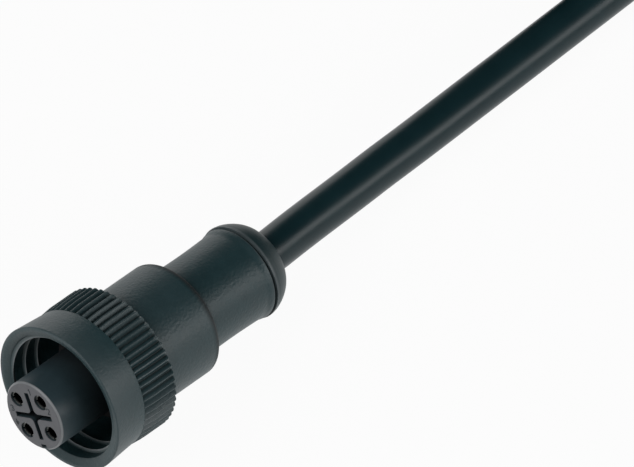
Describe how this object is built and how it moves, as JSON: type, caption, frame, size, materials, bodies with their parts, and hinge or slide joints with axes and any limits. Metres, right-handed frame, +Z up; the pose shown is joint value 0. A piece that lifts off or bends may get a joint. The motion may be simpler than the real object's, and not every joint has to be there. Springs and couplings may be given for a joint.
{
  "type": "circular connector",
  "caption": "Moulded circular power connector with a knurled threaded coupling ring, a cross-slotted socket insert, a stepped shell and a round cable.",
  "frame": {"origin": "centre of the connector's footprint on the surface it lies on, without its cable", "axes": "+X along the connector from the mating face to the cable, +Z up"},
  "size_m": [0.2444, 0.1106, 0.0356],
  "materials": {
    "ring_plastic": "moulded, matte",
    "insert_plastic": "moulded, satin",
    "shell_plastic": "spark-eroded grain",
    "relief_plastic": "moulded, satin",
    "seal_rubber": "matte",
    "contact_plating": "plated",
    "copper_strands": "bare copper",
    "core_brown": "extruded",
    "core_black": "extruded",
    "core_grey": "extruded",
    "core_green": "extruded, striped",
    "cable_jacket": "extruded, satin",
    "tie_plastic": "moulded"
  },
  "bodies": {
    "connector": {"contact_insert": "insert_plastic", "face_seal": "seal_rubber", "shell": "shell_plastic", "strain_relief": "relief_plastic", "socket_1": "contact_plating", "socket_2": "contact_plating", "socket_3": "contact_plating", "earth_socket": "contact_plating", "strands_1": "copper_strands", "strands_2": "copper_strands", "strands_3": "copper_strands", "earth_strands": "copper_strands", "core_1": "core_brown", "core_2": "core_black", "core_3": "core_grey", "earth_core": "core_green", "cable_lead": "cable_jacket", "cable_coil": "cable_jacket", "coil_ties": "tie_plastic"},
    "ring": {"coupling_ring": "ring_plastic"}
  },
  "joints": [
    {"name": "ring_turn", "type": "hinge", "parent": "connector", "child": "ring", "pos_m": [-0.01539, 0, 0.01603], "axis": [0.9885, 0, -0.1511], "continuous": true}
  ]
}
